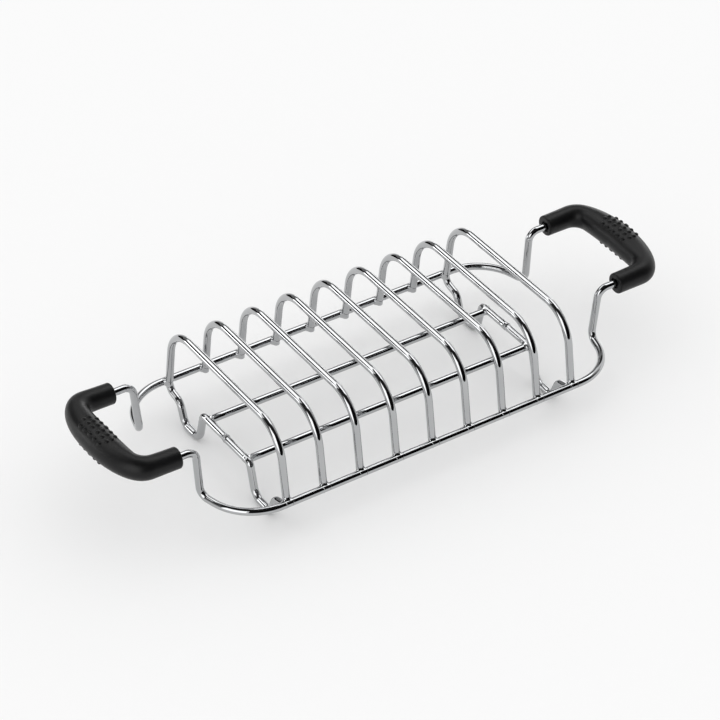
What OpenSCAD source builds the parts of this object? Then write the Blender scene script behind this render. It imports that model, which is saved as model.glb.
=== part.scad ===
// Wire toast rack with two moulded carrying grips.
// Seven plain hoops and two closed end loops stand across two long side wires and hold eight
// slices of toast. The end loops also carry the two rods the toast stands on and dip down to
// form the four feet. The side wires rise at each end and are pushed into the grips.
// X runs along the rack, Y across it, Z up. The origin is on the table, below the middle.

/* [Wire] */
// Diameter of every wire
wire_d = 4; // [3:0.5:4.5]

/* [Hoops] */
// Distance from one hoop to the next, centre to centre
hoop_pitch = 21.4; // [18:0.2:26]
// Height of the hoops' flat tops, to the wire's centre
hoop_top_z = 58.3; // [50:0.5:80]
// Half width of a hoop where the lines of its side and top meet
hoop_top_y = 50.5; // [44:0.5:54]
// Half width of a hoop at the height of the side wires
hoop_rail_y = 56.3; // [56:0.1:57]
// Radius of a hoop's top corners, to the wire's centre
hoop_bend_r = 19.9; // [8:0.1:22]
// How far a plain hoop's cut ends reach below the middle of the side wires
hoop_end_drop = 1.7; // [1:0.1:5]

/* [Side wires] */
// Half the distance between the two long side wires
rail_y = 58.5; // [58.5:0.1:60]
// Height of the side wires, to the wire's centre
rail_z = 19.4; // [18:0.1:26]
// Where the lines of the side wire and the rack's end meet, from the middle
corner_x = 110.4; // [108:0.2:115]
// Radius of the rack's corners seen from above, to the wire's centre
corner_r = 27.2; // [15:0.2:28]
// Foot of a post, from the rack's middle along its length
post_foot_x = 118.3; // [116:0.1:120]
// Foot of a post, from the rack's middle across its width
post_foot_y = 29.5; // [28:0.1:32]
// Where a post's line meets the line of its grip, from the rack's middle
post_top_x = 120.8; // [119:0.1:124]
// Radius of the bend at the foot of a post
post_foot_r = 5.1; // [3:0.1:6]
// Radius of the bend from a post into a grip
post_top_r = 5.7; // [3:0.1:8]

/* [Feet] */
// Depth of the outer bend of a foot below the side wires
foot_outer_drop = 3.7; // [2:0.1:5]
// Half width at the knee above a foot
knee_y = 46; // [44:0.1:48]
// Height of the knee above a foot
knee_z = 13.3; // [11:0.1:14]
// Outer end of a foot's flat bottom, from the middle
foot_outer_y = 41.6; // [40:0.1:43]
// Inner end of a foot's flat bottom, from the middle
foot_inner_y = 27; // [26:0.1:29]

/* [Toast rods] */
// Half the distance between the two rods the toast stands on
rod_y = 18.6; // [15:0.1:19]
// Height of the rods, to the wire's centre
rod_z = 19.2; // [18.5:0.1:20]
// Height of the end loops' crossbars, to the wire's centre
crossbar_z = 20.2; // [19:0.1:21]
// Half width of a crossbar where its line meets the foot's side
crossbar_y = 22.3; // [22:0.1:25]

/* [Grips] */
// Height of the grips, to the middle of their legs
grip_z = 48.8; // [45:0.1:55]
// Half the distance between a grip's two legs
grip_leg_y = 30.6; // [29:0.1:34]
// Where a grip's legs begin, from the rack's middle
grip_end_x = 131; // [130:0.5:135]
// Middle of a grip's bar, from the rack's middle
grip_bar_x = 157; // [155:0.5:160]
// Radius of a grip's leg at its end
grip_leg_r = 5.7; // [5:0.1:6.2]
// Radius of a grip at its corners
grip_corner_r = 6.3; // [6:0.1:7]
// Radius of a grip at the middle of its bar
grip_bar_r = 7.6; // [7.2:0.1:9]
// Radius of a grip's corners seen from above, to the middle of the grip
grip_bend_r = 13; // [10:0.5:15]
// Depth of the sockets that hold the side wires' ends
socket_depth = 15; // [10:0.5:16]

/* [Hidden] */
$fn = 36;

wire_r = wire_d / 2;
seam_size = 0.02;
pitches_to_end_loop = 4;          // the end loops stand one pitch outside hoops 1 and 7
end_loop_x = pitches_to_end_loop * hoop_pitch;
foot_outer_r = 5.3;               // bend radii of an end loop, from the side to the crossbar
foot_inner_r = 6.7;
knee_r = 5.4;
side_foot_r = 4.8;
crossbar_bend_r = 3.2;
weld_half_length = 0.7;           // the ring of metal squeezed out where a loop's ends were joined
weld_height = 0.25;
rod_end_gap = 1.2;                // a rod stops this far short of the crossbar's middle
cut_length = 16;                  // length of crossbar that a rod's end is shaped to
grip_recess_r = 3;                // shallow ring around the wire in a grip's end face
grip_recess_depth = 0.8;
grip_edge = 0.8;                  // chamfer of a grip's end edge
overshoot = 1;                    // how far a hole's cutter stands out of the face it cuts
long_arc_sides = 360;             // facets of the circle whose shallow arc swells the bar
grip_bar_half = grip_leg_y - grip_bend_r;

chrome = [0.80, 0.81, 0.82];
grip_black = [0.10, 0.10, 0.11];

// ---- A bent wire: straight lengths joined by round bends ----

function unit(v) = v / norm(v);
function heading(points, i) = unit(points[i + 1] - points[i]);
function turn_angle(points, i) = acos(heading(points, i) * heading(points, i + 1));
function bend_normal(points, i) = unit(cross(heading(points, i), heading(points, i + 1)));
// Length that bend i takes from the straight on each side of its corner
function setback(points, radii, i) =
    i < 0 || i >= len(radii) ? 0 : radii[i] * tan(turn_angle(points, i) / 2);
// Straight length between bend i - 1 and bend i
function straight(points, radii, i) =
    norm(points[i + 1] - points[i]) - setback(points, radii, i - 1) - setback(points, radii, i);
// How far the plane of bend i is turned from the plane of the bend before it
function twist(points, i) =
    i == 0 ? 0 : atan2(
        cross(bend_normal(points, i - 1), bend_normal(points, i)) * heading(points, i),
        bend_normal(points, i - 1) * bend_normal(points, i)
    );

// One bend, starting along +Z and turning towards -X
module bend(radius, angle) {
    translate([-radius, 0, 0])
        rotate([90, 0, 0])
            rotate_extrude(angle = angle)
                translate([radius, 0]) circle(r = wire_r);
}

// A hair-thin ring that reaches into both lengths where a straight meets a bend, so they are one solid
module seam() {
    cylinder(r = wire_r + seam_size, h = 2 * seam_size, center = true);
}

// The wire from straight i onwards, each length drawn from the end of the one before it
module wire_from(points, radii, i) {
    length = straight(points, radii, i);
    cylinder(r = wire_r, h = length);
    if (i > 0) seam();
    if (i < len(radii)) {
        radius = radii[i];
        angle = turn_angle(points, i);
        translate([0, 0, length]) rotate([0, 0, twist(points, i)]) {
            seam();
            bend(radius, angle);
            translate([-radius, 0, 0]) rotate([0, -angle, 0]) translate([radius, 0, 0])
                wire_from(points, radii, i + 1);
        }
    }
}

// A wire through the given corner points, with one bend radius for each inner corner
module wire(points, radii) {
    z = heading(points, 0);
    y = -bend_normal(points, 0);
    x = cross(y, z);
    start = points[0];
    multmatrix([
        [x[0], y[0], z[0], start[0]],
        [x[1], y[1], z[1], start[1]],
        [x[2], y[2], z[2], start[2]],
        [0, 0, 0, 1]
    ])
        wire_from(points, radii, 0);
}

// A list of points and its mirror image across the rack, in travelling order
function reversed(list) = [for (i = [len(list) - 1 : -1 : 0]) list[i]];
function across(list) = [for (point = list) [point[0], -point[1], point[2]]];
function along(list) = [for (point = list) [-point[0], point[1], point[2]]];

// ---- Hoops and end loops ----

// Half width of a hoop's side at a given height
hoop_slope = (hoop_rail_y - hoop_top_y) / (hoop_top_z - rail_z);
function hoop_side_y(z) = hoop_rail_y + hoop_slope * (rail_z - z);

// The space the two side wires' straight lengths take, which the hoops are let into
module side_wire_grooves() {
    for (side = [-1, 1])
        translate([-corner_x, side * rail_y, rail_z]) rotate([0, 90, 0])
            cylinder(r = wire_r, h = 2 * corner_x);
}

module hoop(x) {
    end_z = rail_z - hoop_end_drop;
    half = [[x, -hoop_side_y(end_z), end_z], [x, -hoop_top_y, hoop_top_z]];
    color(chrome) difference() {
        wire(concat(half, reversed(across(half))), [hoop_bend_r, hoop_bend_r]);
        side_wire_grooves();
    }
}

// An end loop runs from one side of the joint in its crossbar, round, and back to the other
module end_loop(x) {
    side_foot_z = rail_z - foot_outer_drop;
    half = [
        [x, -weld_half_length / 2, crossbar_z],
        [x, -crossbar_y, crossbar_z],
        [x, -foot_inner_y, wire_r],
        [x, -foot_outer_y, wire_r],
        [x, -knee_y, knee_z],
        [x, -hoop_side_y(side_foot_z), side_foot_z],
        [x, -hoop_top_y, hoop_top_z]
    ];
    half_radii = [crossbar_bend_r, foot_inner_r, foot_outer_r, knee_r, side_foot_r, hoop_bend_r];
    color(chrome) difference() {
        union() {
            wire(concat(half, reversed(across(half))), concat(half_radii, reversed(half_radii)));
            crossbar_weld(x);
        }
        side_wire_grooves();
    }
}

// The ring where the two ends of an end loop are butt welded, with sloping sides that sink into the wire
module crossbar_weld(x) {
    crest = wire_r + weld_height;
    root = wire_r - weld_height;
    half_length = 2 * weld_half_length;
    translate([x, 0, crossbar_z]) rotate([90, 0, 0]) rotate_extrude()
        polygon([
            [0, -half_length],
            [root, -half_length],
            [crest, -weld_half_length],
            [crest, weld_half_length],
            [root, half_length],
            [0, half_length]
        ]);
}

// ---- Rods and side wires ----

// A rod butts against the inner side of both crossbars
module toast_rod(side) {
    half_length = end_loop_x - rod_end_gap;
    color(chrome) difference() {
        translate([-half_length, side * rod_y, rod_z]) rotate([0, 90, 0])
            cylinder(r = wire_r, h = 2 * half_length);
        for (x = [-end_loop_x, end_loop_x])
            translate([x, side * rod_y, crossbar_z]) rotate([90, 0, 0])
                cylinder(r = wire_r, h = cut_length, center = true);
    }
}

// The side wire at the back of the rack
module side_wire() {
    half = [
        [grip_end_x + socket_depth, grip_leg_y, grip_z],
        [post_top_x, grip_leg_y, grip_z],
        [post_foot_x, post_foot_y, rail_z],
        [corner_x, rail_y, rail_z]
    ];
    half_radii = [post_top_r, post_foot_r, corner_r];
    color(chrome)
        wire(concat(half, reversed(along(half))), concat(half_radii, reversed(half_radii)));
}

// ---- Grips ----

// One leg, drawn along +Z from its end face, with the edge of the face chamfered
module grip_leg() {
    length = grip_bar_x - grip_bend_r - grip_end_x;
    cylinder(r1 = grip_leg_r - grip_edge, r2 = grip_leg_r, h = grip_edge);
    translate([0, 0, grip_edge])
        cylinder(r1 = grip_leg_r, r2 = grip_corner_r, h = length - grip_edge);
}

// The bar swells in one long arc from its ends to its middle
module grip_bar() {
    rise = grip_bar_r - grip_corner_r;
    arc_r = (grip_bar_half * grip_bar_half + rise * rise) / (2 * rise);
    rotate([90, 0, 0]) rotate_extrude() intersection() {
        translate([grip_bar_r - arc_r, 0]) circle(r = arc_r, $fn = long_arc_sides);
        translate([0, -grip_bar_half]) square([grip_bar_r, 2 * grip_bar_half]);
    }
}

module grip_corner() {
    rotate_extrude(angle = 90) translate([grip_bend_r, 0]) circle(r = grip_corner_r);
}

module grip_socket() {
    translate([0, 0, -overshoot]) {
        cylinder(r = wire_r, h = socket_depth + overshoot);
        cylinder(r = grip_recess_r, h = grip_recess_depth + overshoot);
    }
}

// A grip at the rack's right end
module grip() {
    color(grip_black) translate([0, 0, grip_z]) difference() {
        union() {
            translate([grip_bar_x, 0, 0]) grip_bar();
            for (side = [0, 1]) mirror([0, side, 0]) {
                translate([grip_bar_x - grip_bend_r, grip_bar_half, 0]) grip_corner();
                translate([grip_end_x, grip_leg_y, 0]) rotate([0, 90, 0]) grip_leg();
            }
        }
        for (side = [-1, 1])
            translate([grip_end_x, side * grip_leg_y, 0]) rotate([0, 90, 0]) grip_socket();
    }
}

mirror([0, 1, 0]) side_wire();  // front_side_wire
side_wire();  // back_side_wire
end_loop(-end_loop_x);  // left_end_loop
end_loop(end_loop_x);  // right_end_loop
hoop(-3 * hoop_pitch);  // hoop_1
hoop(-2 * hoop_pitch);  // hoop_2
hoop(-hoop_pitch);  // hoop_3
hoop(0);  // hoop_4
hoop(hoop_pitch);  // hoop_5
hoop(2 * hoop_pitch);  // hoop_6
hoop(3 * hoop_pitch);  // hoop_7
toast_rod(-1);  // front_toast_rod
toast_rod(1);  // back_toast_rod
mirror([1, 0, 0]) grip();  // left_grip
grip();  // right_grip
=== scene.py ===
"""Wire toast rack: nine hoops on two side wires, two rods under the toast, and a moulded grip at each end.

Everything is in metres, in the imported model's frame: X along the rack, Y across it, Z up.
"""

import math

import bmesh
import bpy
import numpy as np
from mathutils import Euler, Matrix, Vector, noise


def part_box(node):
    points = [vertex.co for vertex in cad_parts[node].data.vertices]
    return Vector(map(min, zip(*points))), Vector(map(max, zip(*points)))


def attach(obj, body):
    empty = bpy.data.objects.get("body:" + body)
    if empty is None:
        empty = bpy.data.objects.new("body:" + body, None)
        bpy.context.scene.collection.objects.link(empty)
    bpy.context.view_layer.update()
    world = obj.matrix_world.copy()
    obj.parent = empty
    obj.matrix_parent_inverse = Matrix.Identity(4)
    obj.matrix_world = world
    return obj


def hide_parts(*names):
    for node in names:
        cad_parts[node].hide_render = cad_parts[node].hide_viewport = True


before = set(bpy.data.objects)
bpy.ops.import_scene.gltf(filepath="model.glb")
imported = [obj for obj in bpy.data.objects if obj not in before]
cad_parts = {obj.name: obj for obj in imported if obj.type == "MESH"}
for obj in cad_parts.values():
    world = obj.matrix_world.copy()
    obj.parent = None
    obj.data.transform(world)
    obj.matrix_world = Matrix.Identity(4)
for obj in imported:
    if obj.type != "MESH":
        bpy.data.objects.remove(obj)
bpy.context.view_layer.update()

MM = 0.001

# ---- Sizes that the frame gives ----

rod_low, rod_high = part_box("front_toast_rod")
side_low, side_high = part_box("front_side_wire")
hoop_low, hoop_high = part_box("hoop_4")
grip_low, grip_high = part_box("right_grip")

WIRE_R = (rod_high.z - rod_low.z) / 2
ROD_Y = -(rod_low.y + rod_high.y) / 2
ROD_Z = (rod_low.z + rod_high.z) / 2
ROD_END_X = rod_high.x
RAIL_Y = -side_low.y - WIRE_R
RAIL_Z = side_low.z + WIRE_R
STUB_END_X = side_high.x
GRIP_Z = side_high.z - WIRE_R
HOOP_TOP_Z = hoop_high.z - WIRE_R
GRIP_END_X = grip_low.x

# ---- Sizes of the bends, the same as the design's ----

HOOP_TOP_Y = 50.5 * MM            # half width where the lines of a hoop's side and top meet
HOOP_RAIL_Y = 56.3 * MM           # half width at the height of the side wires
HOOP_BEND = 19.9 * MM
HOOP_END_DROP = 1.7 * MM
CORNER_X = 110.4 * MM
CORNER_BEND = 27.2 * MM
POST_FOOT_X = 118.3 * MM
POST_FOOT_Y = 29.5 * MM
POST_FOOT_BEND = 5.1 * MM
POST_TOP_X = 120.8 * MM
POST_TOP_BEND = 5.7 * MM
STUB_Y = 30.6 * MM
SIDE_FOOT_Z = RAIL_Z - 3.7 * MM   # where an end loop's side turns in to the foot
SIDE_FOOT_BEND = 4.8 * MM
KNEE_Y = 46.0 * MM
KNEE_Z = 13.3 * MM
KNEE_BEND = 5.4 * MM
FOOT_OUTER_Y = 41.6 * MM
FOOT_OUTER_BEND = 5.3 * MM
FOOT_INNER_Y = 27.0 * MM
FOOT_INNER_BEND = 6.7 * MM
CROSSBAR_Y = 22.3 * MM
CROSSBAR_Z = 20.2 * MM
CROSSBAR_BEND = 3.2 * MM

HOOP_SLOPE = (HOOP_RAIL_Y - HOOP_TOP_Y) / (HOOP_TOP_Z - RAIL_Z)
WIRE_SIDES = 40
BEND_STEP = math.radians(4)
CUT_CHAMFER = 0.25 * MM


def hoop_side_y(z):
    """Half width of a hoop's side at a given height."""
    return HOOP_RAIL_Y + HOOP_SLOPE * (RAIL_Z - z)


# ---- Mesh helpers ----

def add_object(name, data):
    """A new object in the scene."""
    added = bpy.data.objects.new(name, data)
    bpy.context.scene.collection.objects.link(added)
    return added


def new_piece(name, verts, faces, slot, material, crease=40):
    """A mesh that rides on the rack's one body. Edges sharper than crease, in degrees, stay hard."""
    mesh = bpy.data.meshes.new(name)
    mesh.from_pydata([tuple(v) for v in verts], [], faces)
    outward = bmesh.new()
    outward.from_mesh(mesh)
    bmesh.ops.recalc_face_normals(outward, faces=outward.faces)
    outward.to_mesh(mesh)
    outward.free()
    mesh.polygons.foreach_set("use_smooth", [True] * len(mesh.polygons))
    mesh.set_sharp_from_angle(angle=math.radians(crease))
    mesh.materials.append(material)
    mesh.update()
    piece = add_object(name, mesh)
    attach(piece, "root")
    return piece


def bent_line(corners, bends):
    """Points along a wire through its corners, with an arc of the given radius at each inner one."""
    corners = [Vector(c) for c in corners]
    line = [corners[0]]
    for before, corner, after, radius in zip(corners, corners[1:], corners[2:], bends):
        arrive = (corner - before).normalized()
        leave = (after - corner).normalized()
        angle = arrive.angle(leave)
        start = corner - arrive * radius * math.tan(angle / 2)
        inward = (leave - arrive * arrive.dot(leave)).normalized()
        centre = start + inward * radius
        steps = max(3, math.ceil(angle / BEND_STEP))
        for i in range(steps + 1):
            turned = angle * i / steps
            line.append(centre + radius * (arrive * math.sin(turned) - inward * math.cos(turned)))
    line.append(corners[-1])
    return line


def skin(rings):
    """A closed surface through rings of points, with a flat face over the first ring and the last."""
    sides = len(rings[0])
    verts, faces = [], []
    for i, ring in enumerate(rings):
        verts += ring
        if i:
            first, last = (i - 1) * sides, i * sides
            for k in range(sides):
                after = (k + 1) % sides
                faces.append((first + k, first + after, last + after, last + k))
    faces.append(tuple(reversed(range(sides))))
    faces.append(tuple(range(len(verts) - sides, len(verts))))
    return verts, faces


def tube(line, radii):
    """Closed tube along a line of points, with its own radius at each point."""
    tangents = []
    for i in range(len(line)):
        ahead = line[min(i + 1, len(line) - 1)]
        behind = line[max(i - 1, 0)]
        tangents.append((ahead - behind).normalized())
    side = tangents[0].orthogonal().normalized()
    rings = []
    for point, tangent, radius in zip(line, tangents, radii):
        side = (side - tangent * side.dot(tangent)).normalized()
        other = tangent.cross(side)
        ring = []
        for k in range(WIRE_SIDES):
            turn = 2 * math.pi * k / WIRE_SIDES
            ring.append(point + radius * (side * math.cos(turn) + other * math.sin(turn)))
        rings.append(ring)
    return skin(rings)


def cut_ends(line):
    """The line and its radii with a small chamfer added at each cut end."""
    start = (line[1] - line[0]).normalized()
    end = (line[-2] - line[-1]).normalized()
    radii = [WIRE_R] * len(line)
    line = [line[0], line[0] + start * CUT_CHAMFER] + line[1:-1] + [line[-1] + end * CUT_CHAMFER, line[-1]]
    return line, [WIRE_R - CUT_CHAMFER] + radii + [WIRE_R - CUT_CHAMFER]


def mirrored(points, axis):
    """The points mirrored across the rack (axis 1) or along it (axis 0), in travelling order."""
    flipped = []
    for p in reversed(points):
        q = Vector(p)
        q[axis] = -q[axis]
        flipped.append(q)
    return flipped


# ---- Materials ----

NOISE_RANGE = (0.3, 0.7)          # a noise texture seldom leaves this range


def node_material(name):
    """A new material, its node tree and its Principled shader."""
    material = bpy.data.materials.new(name)
    material.use_nodes = True
    return material, material.node_tree, material.node_tree.nodes["Principled BSDF"]


def noise_between(tree, scale, detail, low, high):
    """The output of a noise texture in the object's own metres, mapped to run from low to high."""
    place = tree.nodes.new("ShaderNodeTexCoord")
    texture = tree.nodes.new("ShaderNodeTexNoise")
    texture.inputs["Scale"].default_value = scale
    texture.inputs["Detail"].default_value = detail
    tree.links.new(place.outputs["Object"], texture.inputs["Vector"])
    spread = tree.nodes.new("ShaderNodeMapRange")
    spread.inputs["From Min"].default_value = NOISE_RANGE[0]
    spread.inputs["From Max"].default_value = NOISE_RANGE[1]
    spread.inputs["To Min"].default_value = low
    spread.inputs["To Max"].default_value = high
    tree.links.new(texture.outputs["Fac"], spread.inputs["Value"])
    return spread.outputs["Result"]


def two_tone(tree, factor, first, second):
    """A colour that moves between two tones."""
    ramp = tree.nodes.new("ShaderNodeValToRGB")
    ramp.color_ramp.elements[0].color = (*first, 1)
    ramp.color_ramp.elements[1].color = (*second, 1)
    tree.links.new(factor, ramp.inputs["Fac"])
    return ramp.outputs["Color"]


def add_bump(tree, shader, height, depth):
    """Relief of the given depth in metres."""
    relief = tree.nodes.new("ShaderNodeBump")
    relief.inputs["Distance"].default_value = depth
    tree.links.new(height, relief.inputs["Height"])
    tree.links.new(relief.outputs["Normal"], shader.inputs["Normal"])


def chrome():
    """Bright chrome plating: the wire's faint unevenness under it, and a thin film of handling on it."""
    material, tree, shader = node_material("bright_chrome")
    shader.inputs["Metallic"].default_value = 1
    film = noise_between(tree, scale=45, detail=3, low=0, high=1)
    color = two_tone(tree, film, (0.43, 0.436, 0.445), (0.47, 0.476, 0.482))
    tree.links.new(color, shader.inputs["Base Color"])
    smears = noise_between(tree, scale=260, detail=4, low=0.015, high=0.035)
    tree.links.new(smears, shader.inputs["Roughness"])
    waves = noise_between(tree, scale=420, detail=2, low=0, high=1)
    add_bump(tree, shader, waves, 0.0015 * MM)
    return material


def grip_plastic():
    """Matte black moulded plastic with a fine spark-eroded grain and slight mottling."""
    material, tree, shader = node_material("grip_plastic")
    shader.inputs["Specular IOR Level"].default_value = 0.24
    mottle = noise_between(tree, scale=120, detail=4, low=0, high=1)
    color = two_tone(tree, mottle, (0.003, 0.003, 0.0033), (0.005, 0.005, 0.0054))
    tree.links.new(color, shader.inputs["Base Color"])
    sheen = noise_between(tree, scale=900, detail=3, low=0.33, high=0.43)
    tree.links.new(sheen, shader.inputs["Roughness"])
    grain = noise_between(tree, scale=3200, detail=2, low=0, high=1)
    add_bump(tree, shader, grain, 0.02 * MM)
    return material


CHROME = chrome()
PLASTIC = grip_plastic()

# ---- Wires ----


def hoop(number, x):
    """A plain hoop from one cut end to the other. Its ends reach a little below the side wires' middles."""
    end_z = RAIL_Z - HOOP_END_DROP
    half = [Vector((x, -hoop_side_y(end_z), end_z)), Vector((x, -HOOP_TOP_Y, HOOP_TOP_Z))]
    line = bent_line(half + mirrored(half, 1), [HOOP_BEND, HOOP_BEND])
    line, radii = cut_ends(line)
    piece = new_piece(f"hoop_{number}_wire", *tube(line, radii), "chrome_wire", CHROME)
    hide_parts(f"hoop_{number}")
    return line


def with_weld_bead(line, radii, bead):
    """The line and its radii with more points beside its two ends, which swell to a weld bead."""
    start = (line[1] - line[0]).normalized()
    end = (line[-2] - line[-1]).normalized()
    before = [line[0] + start * d * MM for d, _ in bead]
    after = [line[-1] + end * d * MM for d, _ in reversed(bead)]
    heights = [h * MM for _, h in bead]
    swollen = [WIRE_R + h for h in heights]
    return before + line[1:-1] + after, swollen + radii[1:-1] + swollen[::-1]


def end_loop(name, x, step, bead):
    """A closed loop. Its wire ends miss each other by twice the step, at a weld with the bead's profile."""
    half = [
        Vector((x, 0, CROSSBAR_Z)),
        Vector((x, -CROSSBAR_Y, CROSSBAR_Z)),
        Vector((x, -FOOT_INNER_Y, WIRE_R)),
        Vector((x, -FOOT_OUTER_Y, WIRE_R)),
        Vector((x, -KNEE_Y, KNEE_Z)),
        Vector((x, -hoop_side_y(SIDE_FOOT_Z), SIDE_FOOT_Z)),
        Vector((x, -HOOP_TOP_Y, HOOP_TOP_Z)),
    ]
    bends = [CROSSBAR_BEND, FOOT_INNER_BEND, FOOT_OUTER_BEND, KNEE_BEND, SIDE_FOOT_BEND, HOOP_BEND]
    line = bent_line(half + mirrored(half, 1), bends + bends[::-1])
    line[0].z -= step
    line[-1].z += step
    radii = [WIRE_R] * len(line)
    line, radii = with_weld_bead(line, radii, bead)
    piece = new_piece(f"{name}_wire", *tube(line, radii), "chrome_wire", CHROME)
    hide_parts(name)
    return line


def rod(name, y):
    """A straight rod that the toast stands on."""
    line = [Vector((-ROD_END_X, y, ROD_Z)), Vector((ROD_END_X, y, ROD_Z))]
    line, radii = cut_ends(line)
    piece = new_piece(f"{name}_wire", *tube(line, radii), "chrome_wire", CHROME)
    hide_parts(name)
    return line


def side_wire(name, side):
    """A long side wire, from the stub in one grip to the stub in the other."""
    half = [
        Vector((-STUB_END_X, side * STUB_Y, GRIP_Z)),
        Vector((-POST_TOP_X, side * STUB_Y, GRIP_Z)),
        Vector((-POST_FOOT_X, side * POST_FOOT_Y, RAIL_Z)),
        Vector((-CORNER_X, side * RAIL_Y, RAIL_Z)),
    ]
    bends = [POST_TOP_BEND, POST_FOOT_BEND, CORNER_BEND]
    line = bent_line(half + mirrored(half, 0), bends + bends[::-1])
    line, radii = cut_ends(line)
    piece = new_piece(f"{name}_bent", *tube(line, radii), "chrome_wire", CHROME)
    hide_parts(name)
    return line


HOOPS = {}
for number in range(1, 8):
    low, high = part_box(f"hoop_{number}")
    HOOPS[number] = hoop(number, (low.x + high.x) / 2)
# How far each wire end sits above or below the crossbar, then the bead in millimetres: distance from
# the joint, and height over the wire
CROSSBAR_JOINTS = {
    "left_end_loop": (0.12 * MM, (
        (0, 0.2), (0.3, 0.25), (0.55, 0.14), (0.7, -0.06), (0.85, -0.2), (1.0, -0.12), (1.25, 0),
        (1.5, 0),
    )),
    "right_end_loop": (-0.12 * MM, (
        (0, 0.16), (0.3, 0.22), (0.5, 0.08), (0.65, -0.14), (0.85, -0.06), (1.3, 0.14), (2.1, 0.12),
        (3.3, 0), (3.6, 0),
    )),
}
END_LOOPS = {}
for name, (step, bead) in CROSSBAR_JOINTS.items():
    low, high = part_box(name)
    END_LOOPS[name] = end_loop(name, (low.x + high.x) / 2, step, bead)
SIDES = {-1: "front", 1: "back"}
RODS = {side: rod(f"{word}_toast_rod", side * ROD_Y) for side, word in SIDES.items()}
SIDE_WIRES = {side: side_wire(f"{word}_side_wire", side) for side, word in SIDES.items()}

# ---- Welds ----

WELD_REACH = 3.6 * MM             # how far from its middle a weld's mesh reaches
WELD_SINK = 0.05 * MM             # how far that mesh lies inside the wires, so only weld metal shows
WELD_FILL = 1.7 * MM              # how widely weld metal fills the crease between two wires
WELD_STEP = 0.2 * MM
WELD_END_GAP = 0.3 * MM           # how far it stays short of a wire's cut end
WELD_DETAIL = 6                   # subdivisions of the ball that becomes a weld's mesh
WELD_LINE_STEP = 0.8 * MM
WELD_BEAD_R = 1.05 * MM
WELD_BEAD_SHAPE = (0.8, 1.15, 1.25)   # the bead's radii along X, Y and Z, as parts of its size
WELD_BEAD_OFFSET = 1.7            # millimetres that the bead's middle is from the weld's
WELD_BEAD_SPREAD = 0.35           # how much a bead's size differs from weld to weld
ROD_WELD_BEAD_R = WELD_BEAD_R / 2
ROD_WELD_INSET = 0.8 * WIRE_R     # from a crossbar's middle line to the weld's middle


def close_points(line, centre, reach):
    """Points along a line, a step apart, that lie within reach of the centre."""
    points = []
    for a, b in zip(line, line[1:]):
        count = max(1, round((b - a).length / WELD_LINE_STEP))
        points += [a.lerp(b, i / count) for i in range(count)]
    points.append(line[-1])
    return [p for p in points if (p - centre).length < reach]


def wire_distance(points, line):
    """How far each point is outside a wire along the line. Both ends are cut flat."""
    line = np.array(line)
    run = np.diff(line, axis=0)
    offset = points[:, None, :] - line[:-1]
    along = np.clip((offset * run).sum(axis=2) / (run * run).sum(axis=1), 0, 1)
    distance = np.linalg.norm(offset - along[:, :, None] * run, axis=2).min(axis=1)
    distance -= WIRE_R - WELD_SINK
    for end, outward in ((line[0], -run[0]), (line[-1], run[-1])):
        past_end = (points - end) @ (outward / np.linalg.norm(outward)) + WELD_END_GAP
        distance = np.maximum(distance, past_end)
    return distance


def blended(first, second, width):
    """The smaller of two distances, with the crease between the two shapes filled over the given width."""
    overlap = np.maximum(width - np.abs(first - second), 0) / width
    return np.minimum(first, second) - overlap ** 2 * width / 4


def weld(centre, lines, seed, bead_r):
    """Weld metal where two wires touch, with a bead on one side that differs from weld to weld."""
    # noise_vector gives other values in each run of Blender, so the beads differ a little between runs
    jitter = noise.noise_vector(Vector((seed * 3.7, seed * 1.3, 0.5)))
    away = Vector((-1.0 + 0.6 * jitter.x, 0, 0.5 * jitter.y)) * WELD_BEAD_OFFSET * MM
    bead_middle = np.array(centre + away)
    bead_radii = bead_r * (1 + WELD_BEAD_SPREAD * jitter.z) * np.array(WELD_BEAD_SHAPE)
    wires = [close_points(line, centre, WELD_REACH) for line in lines]

    ball = bmesh.new()
    bmesh.ops.create_icosphere(ball, subdivisions=WELD_DETAIL, radius=1)
    directions = np.array([v.co for v in ball.verts])
    faces = [tuple(v.index for v in f.verts) for f in ball.faces]
    ball.free()

    # walk outward from the middle until each direction leaves the metal
    reached = np.full(len(directions), WELD_REACH)
    inside = np.ones(len(directions), dtype=bool)
    before = np.full(len(directions), -WIRE_R)
    for step in range(1, int(WELD_REACH / WELD_STEP)):
        points = np.array(centre) + directions * step * WELD_STEP
        wire = blended(wire_distance(points, wires[0]), wire_distance(points, wires[1]), WELD_FILL)
        bead = (np.linalg.norm((points - bead_middle) / bead_radii, axis=1) - 1) * bead_radii.min()
        outside = blended(wire, bead, WELD_FILL / 2)
        leaving = inside & (outside > 0)
        part = before / (before - outside)
        reached = np.where(leaving, (step - 1 + part) * WELD_STEP, reached)
        inside &= ~leaving
        before = outside
    verts = [centre + Vector(v) for v in directions * reached[:, None]]
    return verts, faces


def joined(name, parts):
    """Several weld meshes as one piece."""
    verts, faces = [], []
    for part_verts, part_faces in parts:
        faces += [tuple(len(verts) + i for i in f) for f in part_faces]
        verts += part_verts
    return new_piece(name, verts, faces, "chrome_wire", CHROME)


def rail_weld_centre(x, side):
    """Half way between a hoop's leg and the side wire it is welded to."""
    return Vector((x, side * (RAIL_Y + HOOP_RAIL_Y) / 2, RAIL_Z))


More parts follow.
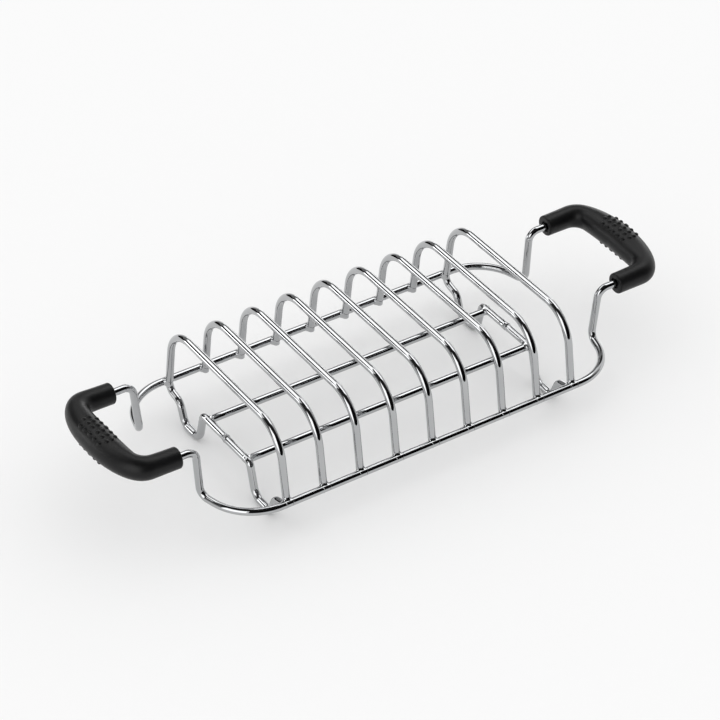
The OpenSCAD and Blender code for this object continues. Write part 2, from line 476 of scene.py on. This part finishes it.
UPRIGHTS = [END_LOOPS["left_end_loop"], *HOOPS.values(), END_LOOPS["right_end_loop"]]
for side, word in SIDES.items():
    parts = []
    for i, line in enumerate(UPRIGHTS):
        centre = rail_weld_centre(line[0].x, side)
        parts.append(weld(centre, [line, SIDE_WIRES[side]], i + 10 * side, WELD_BEAD_R))
    joined(f"{word}_side_wire_welds", parts)
for name, line in END_LOOPS.items():
    x = line[0].x
    inward = -math.copysign(ROD_WELD_INSET, x)
    parts = []
    for side in SIDES:
        centre = Vector((x + inward, side * ROD_Y, (ROD_Z + CROSSBAR_Z) / 2))
        parts.append(weld(centre, [line, RODS[side]], side + x, ROD_WELD_BEAD_R))
    joined(f"{name}_rod_welds", parts)

# ---- Grips ----

GRIP_LEG_Y = STUB_Y + 0.4 * MM
GRIP_LEG_R = 5.55 * MM
GRIP_LEG_RISE = 5.6 * MM          # half thickness of a leg, measured upright
GRIP_BAR_RISE = 7.45 * MM         # the same in the middle of the bar
GRIP_ARCH = 0.6 * MM              # how much higher the middle of the bar sits than the legs
GRIP_INNER_X = 148.5 * MM         # inner side of the bar, next to the legs
GRIP_INNER_BOW = 0.65 * MM        # how far that side bows out in the middle
GRIP_INNER_BEND = 5.3 * MM
GRIP_OUTER_START = 146.8 * MM     # where the outer side leaves the leg's straight side
GRIP_OUTER_X = 164.75 * MM
GRIP_OUTER_POWER = 2.2            # a superellipse rounds the outer corners
GRIP_EDGE = 0.8 * MM
GRIP_RECESS_R = 3.0 * MM
GRIP_RECESS_DEPTH = 0.8 * MM
GRIP_MIDDLE_X = 147.7 * MM        # the point a grip is tilted about
# How each grip sits on its wires: degrees about X, Y and Z, then how far it is moved
GRIP_SEATS = {
    -1: (Vector((-0.6, 2.8, 1.4)), Vector((-0.1, 0.35, 0.3)) * MM),
    1: (Vector((0.2, -0.7, 0.1)), Vector((0.1, 0.3, 0)) * MM),
}
SOCKET_END_X = STUB_END_X + 0.1 * MM
DOT_R = 1.15 * MM
DOT_RISE = 0.85 * MM
DOT_PITCH = 4.14 * MM             # from one dot to the next, along the bar
DOT_ROWS = ((-4.6, 5), (-1.5, 6), (1.5, 6), (4.6, 5))   # millimetres from the bar's middle, and dots
DOT_MIDDLE_X = 156.9 * MM
DOT_MIDDLE_Y = 0.35 * MM
DOT_ZONE = 14.5 * MM              # half length of the bar that the dots take
DOT_ARC = 48                      # degrees to each side of the top and of the bottom with fine steps
DOT_ARC_STEP = 1.6
SIDE_ARC_STEP = 6
DOT_FACING = 0.5                  # dots are only where the surface faces up or down by this much
DOT_SLOPE_STRETCH = 0.8           # how far a dot's plan shape follows the slope, to stay round
BODY_STEPS = 260
BODY_STRIDE = 4                   # where there are no dots, only every fourth ring is kept
EDGE_STEPS = 6
EDGE_GAP = 0.3 * MM               # from the end's rounded edge to the first ring behind it
ACROSS = Vector((0, 1, 0))


def arc_length_point(path, fraction):
    """The point at a fraction of the path's length."""
    lengths = [(b - a).length for a, b in zip(path, path[1:])]
    left = fraction * sum(lengths)
    for a, b, length in zip(path, path[1:], lengths):
        if left <= length:
            return a.lerp(b, left / length)
        left -= length
    return path[-1].copy()


def grip_sides():
    """The inner and outer side of half a grip in plan, from its leg's end to the middle of its bar."""
    inner_y = GRIP_LEG_Y - GRIP_LEG_R
    outer_y = GRIP_LEG_Y + GRIP_LEG_R
    inner = bent_line([
        (GRIP_END_X, inner_y, 0),
        (GRIP_INNER_X, inner_y, 0),
        (GRIP_INNER_X + GRIP_INNER_BOW, 0, 0),
    ], [GRIP_INNER_BEND])
    outer = [Vector((GRIP_END_X, outer_y, 0))]
    steps = 60
    power = 2 / GRIP_OUTER_POWER
    for i in range(steps + 1):
        turn = math.pi / 2 * i / steps
        reach = (GRIP_OUTER_X - GRIP_OUTER_START) * math.sin(turn) ** power
        outer.append(Vector((GRIP_OUTER_START + reach, outer_y * max(math.cos(turn), 0) ** power, 0)))
    return inner, outer


def section_angles():
    """Angles round a grip's section, closer together over the dots on its top and underside."""
    angles = []
    fine = round(2 * DOT_ARC / DOT_ARC_STEP)
    coarse = round((180 - 2 * DOT_ARC) / SIDE_ARC_STEP)
    for middle in (90, 270):
        angles += [middle - DOT_ARC + DOT_ARC_STEP * i for i in range(fine + 1)]
        angles += [middle + DOT_ARC + SIDE_ARC_STEP * i for i in range(1, coarse)]
    return [math.radians(a) for a in angles]


def grip_section(centre, across, half_width, half_rise, angles):
    """One ring: its points and the outward direction at each."""
    points, normals = [], []
    for a in angles:
        points.append(centre + across * half_width * math.cos(a) + Vector((0, 0, half_rise * math.sin(a))))
        normal = across * math.cos(a) / half_width + Vector((0, 0, math.sin(a) / half_rise))
        normals.append(normal.normalized())
    return points, normals


def dot_height(distance):
    """Height of a dot, a spherical cap, at a distance from its middle."""
    if distance >= DOT_R:
        return 0
    ball = (DOT_R ** 2 + DOT_RISE ** 2) / (2 * DOT_RISE)
    return math.sqrt(ball ** 2 - distance ** 2) - (ball - DOT_RISE)


def dot_centres():
    """The rows of dots in plan. The outer rows have one dot fewer, so they are staggered."""
    centres = []
    for offset, count in DOT_ROWS:
        for i in range(count):
            along = (i - (count - 1) / 2) * DOT_PITCH
            centres.append((DOT_MIDDLE_X + offset * MM, DOT_MIDDLE_Y + along))
    return centres


def socket_rings(angles):
    """From the bottom of the back leg's socket to the rim of the shallow recess around the wire."""
    wire = Vector((0, STUB_Y, GRIP_Z))
    rings = []
    for x, radius in (
        (SOCKET_END_X, WIRE_R),
        (GRIP_END_X + GRIP_RECESS_DEPTH, WIRE_R),
        (GRIP_END_X + GRIP_RECESS_DEPTH, GRIP_RECESS_R),
        (GRIP_END_X, GRIP_RECESS_R),
    ):
        rings.append(grip_section(wire + Vector((x, 0, 0)), ACROSS, radius, radius, angles)[0])
    return rings


def edge_rings(angles):
    """The rounded edge of the back leg's end face."""
    leg = Vector((GRIP_END_X, GRIP_LEG_Y, GRIP_Z))
    rings = []
    for i in range(EDGE_STEPS + 1):
        turn = math.radians(90 * i / EDGE_STEPS)
        inset = GRIP_EDGE * (1 - math.sin(turn))
        centre = leg + Vector((GRIP_EDGE * (1 - math.cos(turn)), 0, 0))
        rings.append(grip_section(centre, ACROSS, GRIP_LEG_R - inset, GRIP_LEG_RISE - inset, angles)[0])
    return rings


def body_rings(angles):
    """The back half of a grip, from behind its end's edge to the middle of the bar, with its dots."""
    inner, outer = grip_sides()
    dots = dot_centres()
    rings = []
    for i in range(1, BODY_STEPS + 1):
        f = i / BODY_STEPS
        near = arc_length_point(inner, f)
        far = arc_length_point(outer, f)
        middle = (near + far) / 2
        if near.x < GRIP_END_X + GRIP_EDGE + EDGE_GAP or (middle.y > DOT_ZONE and i % BODY_STRIDE):
            continue
        rise = GRIP_LEG_RISE + (GRIP_BAR_RISE - GRIP_LEG_RISE) * (1 - math.cos(math.pi * f)) / 2
        centre = middle + Vector((0, 0, GRIP_Z + GRIP_ARCH * f * f))
        half = (far - near) / 2
        rings.append(with_dots(*grip_section(centre, half.normalized(), half.length, rise, angles), dots))
    return rings


def with_dots(points, normals, dots):
    """A ring of a grip's points, lifted along their normals where a dot of the top or underside is."""
    moved = []
    for p, n in zip(points, normals):
        height = 0
        if abs(p.y) < DOT_ZONE and abs(n.z) > DOT_FACING:
            slope = math.sqrt(1 - n.z * n.z) / abs(n.z)
            stretch = math.hypot(1, DOT_SLOPE_STRETCH * slope)
            for x, y in dots:
                height = max(height, dot_height(math.hypot((p.x - x) * stretch, p.y - y)))
        moved.append(p + n * height)
    return moved


def seated(p, side):
    """A point of the right-hand grip put where that end's grip has it."""
    tilt, shift = GRIP_SEATS[side]
    turn = Euler([math.radians(a) for a in tilt]).to_matrix()
    middle = Vector((side * GRIP_MIDDLE_X, 0, GRIP_Z))
    return turn @ (Vector((side * p.x, p.y, p.z)) - middle) + middle + shift


def grip(name, side):
    """One grip, swept from the bottom of one socket round to the bottom of the other."""
    angles = section_angles()
    half = body_rings(angles)
    shell = edge_rings(angles) + half
    front = [[Vector((p.x, -p.y, p.z)) for p in ring] for ring in reversed(shell)]
    shell = [[seated(p, side) for p in ring] for ring in shell + front[1:]]
    rings = []
    for leg_side in (1, -1):
        # the recess stays round its wire, and only follows the tilted end face in or out
        face = seated(Vector((GRIP_END_X, leg_side * GRIP_LEG_Y, GRIP_Z)), side).x - side * GRIP_END_X
        sockets = []
        for ring in socket_rings(angles):
            sockets.append([Vector((side * p.x + face, leg_side * p.y, p.z)) for p in ring])
        rings = sockets + shell if leg_side > 0 else rings + sockets[::-1]
    piece = new_piece(f"{name}_moulding", *skin(rings), "grip_plastic", PLASTIC, crease=60)
    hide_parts(name)


grip("left_grip", -1)
grip("right_grip", 1)

# ---- Floor, lights and camera ----

FLOOR_SIZE = 16.0
STUDIO_R = 2.6
TENT_BRIGHTNESS = 1.12
PANEL_GAP = 0.02                  # each panel stands this much nearer than the one before it
LENS = 154.383                    # millimetres, on a sensor 36 mm wide
SENSOR_WIDTH = 36
HALF_PIXEL = 0.5 / 720            # the lens's axis is half a pixel off the picture's middle
CAMERA_PLACE = (-0.687176, -1.041890, 0.982649)
CAMERA_BACK = (-0.435668, -0.666202, 0.605284)   # the direction that it looks away from
CAMERA_ROLL = math.radians(0.0482)
# Black flags, grey walls and softboxes that the chrome reflects: azimuths from +X towards +Y and
# elevations, in degrees, and emission strength. Where two overlap, the later one is in front.
STUDIO_PANELS = (
    ("front_flag", (-130, -33), (0.5, 60), 0.005),
    ("front_side_wall", (-33, -22), (0.5, 58), 0.14),
    ("right_front_wall", (-22, -12), (0.5, 52), 0.3),
    ("right_front_sweep", (-12, -1), (14, 45), 0.55),
    ("top_flag", (-184, -8), (48, 76), 0.02),
    ("zenith_flag", (-184, -62), (76, 97), 0.02),
    ("back_top_flag", (66, 152), (60, 78), 0.02),
    ("right_top_flag", (-62, 152), (72, 90), 0.02),
    ("left_back_flag", (152, 182), (28, 90), 0.03),
    ("left_back_upper_wall", (152, 182), (18, 28), 0.2),
    ("left_back_wall", (152, 182), (0.5, 18), 0.45),
    ("left_softbox", (-176, -134), (0.5, 45), 2.4),
    ("back_left_softbox", (138, 150), (0.4, 24), 3.0),
    ("back_left_low_softbox", (130, 138), (0.4, 11), 6.0),
    ("back_left_gap", (112, 138), (13, 38), 0.01),
    ("back_flag", (86, 127), (0.5, 24), 0.01),
    ("back_upper_wall", (62, 114), (21, 36.5), 0.25),
    ("back_right_wall", (66, 85.5), (3, 21), 0.45),
    ("back_softbox", (75, 119), (40, 60), 2.6),
    ("back_left_upper_softbox", (119, 140), (39, 52), 2.4),
    ("right_wall", (-1, 66), (8, 40), 0.95),
    ("right_softbox", (-8, 62), (46, 72), 2.5),
    ("right_grey_wall", (56, 68), (12, 41), 0.35),
    ("right_dark_wall", (40, 57), (14, 42), 0.01),
    ("right_low_softbox", (30, 58), (0.4, 12), 3.0),
)


def pale_floor():
    """Matte pale paper, with no shine of its own."""
    material, tree, shader = node_material("pale_floor")
    shader.inputs["Base Color"].default_value = (0.86, 0.86, 0.86, 1)
    shader.inputs["Roughness"].default_value = 0.6
    shader.inputs["Specular IOR Level"].default_value = 0
    return material


def floor():
    """The plain floor that the feet stand on."""
    half = FLOOR_SIZE / 2
    corners = [(-half, -half, 0), (half, -half, 0), (half, half, 0), (-half, half, 0)]
    mesh = bpy.data.meshes.new("floor")
    mesh.from_pydata(corners, [], [(0, 1, 2, 3)])
    mesh.materials.append(pale_floor())
    piece = add_object("floor", mesh)


def panel(name, radius, azimuths, elevations, brightness):
    """A curved studio panel around the rack, which only shows in reflections."""
    steps = 12
    verts, faces = [], []
    for i in range(steps + 1):
        az = math.radians(azimuths[0] + (azimuths[1] - azimuths[0]) * i / steps)
        for j in range(steps + 1):
            el = math.radians(elevations[0] + (elevations[1] - elevations[0]) * j / steps)
            verts.append((
                radius * math.cos(el) * math.cos(az),
                radius * math.cos(el) * math.sin(az),
                radius * math.sin(el),
            ))
    for i in range(steps):
        for j in range(steps):
            a = i * (steps + 1) + j
            faces.append((a, a + 1, a + steps + 2, a + steps + 1))
    mesh = bpy.data.meshes.new(name)
    mesh.from_pydata(verts, [], faces)
    material, tree, _ = node_material(name)
    tree.nodes.clear()
    light = tree.nodes.new("ShaderNodeEmission")
    light.inputs["Color"].default_value = (1, 1, 1, 1)
    light.inputs["Strength"].default_value = brightness
    output = tree.nodes.new("ShaderNodeOutputMaterial")
    tree.links.new(light.outputs["Emission"], output.inputs["Surface"])
    mesh.materials.append(material)
    piece = add_object(name, mesh)
    piece.visible_camera = False
    piece.visible_diffuse = False
    piece.visible_shadow = False


def studio():
    """A bright tent all round, with the panels inside it."""
    world = bpy.data.worlds.new("tent")
    world.use_nodes = True
    world.node_tree.nodes["Background"].inputs["Color"].default_value = (1, 1, 1, 1)
    world.node_tree.nodes["Background"].inputs["Strength"].default_value = TENT_BRIGHTNESS
    bpy.context.scene.world = world
    for i, (name, azimuths, elevations, brightness) in enumerate(STUDIO_PANELS):
        panel(name, STUDIO_R - i * PANEL_GAP, azimuths, elevations, brightness)


def camera():
    """A camera with a long lens, in front of the rack on its left and above it, with a slight roll."""
    data = bpy.data.cameras.new("camera")
    data.sensor_width = SENSOR_WIDTH
    data.lens = LENS
    data.clip_start = 0.05
    data.clip_end = 50
    data.shift_x = -HALF_PIXEL
    data.shift_y = HALF_PIXEL
    back = Vector(CAMERA_BACK).normalized()
    right = (-back).cross(Vector((0, 0, 1))).normalized()
    up = back.cross(right)
    cos, sin = math.cos(CAMERA_ROLL), math.sin(CAMERA_ROLL)
    right, up = right * cos + up * sin, up * cos - right * sin
    turn = Matrix((right, up, back)).transposed().to_4x4()
    piece = add_object("camera", data)
    piece.matrix_world = Matrix.Translation(CAMERA_PLACE) @ turn
    bpy.context.scene.camera = piece


floor()
studio()
camera()
bpy.context.scene.view_settings.view_transform = "Standard"
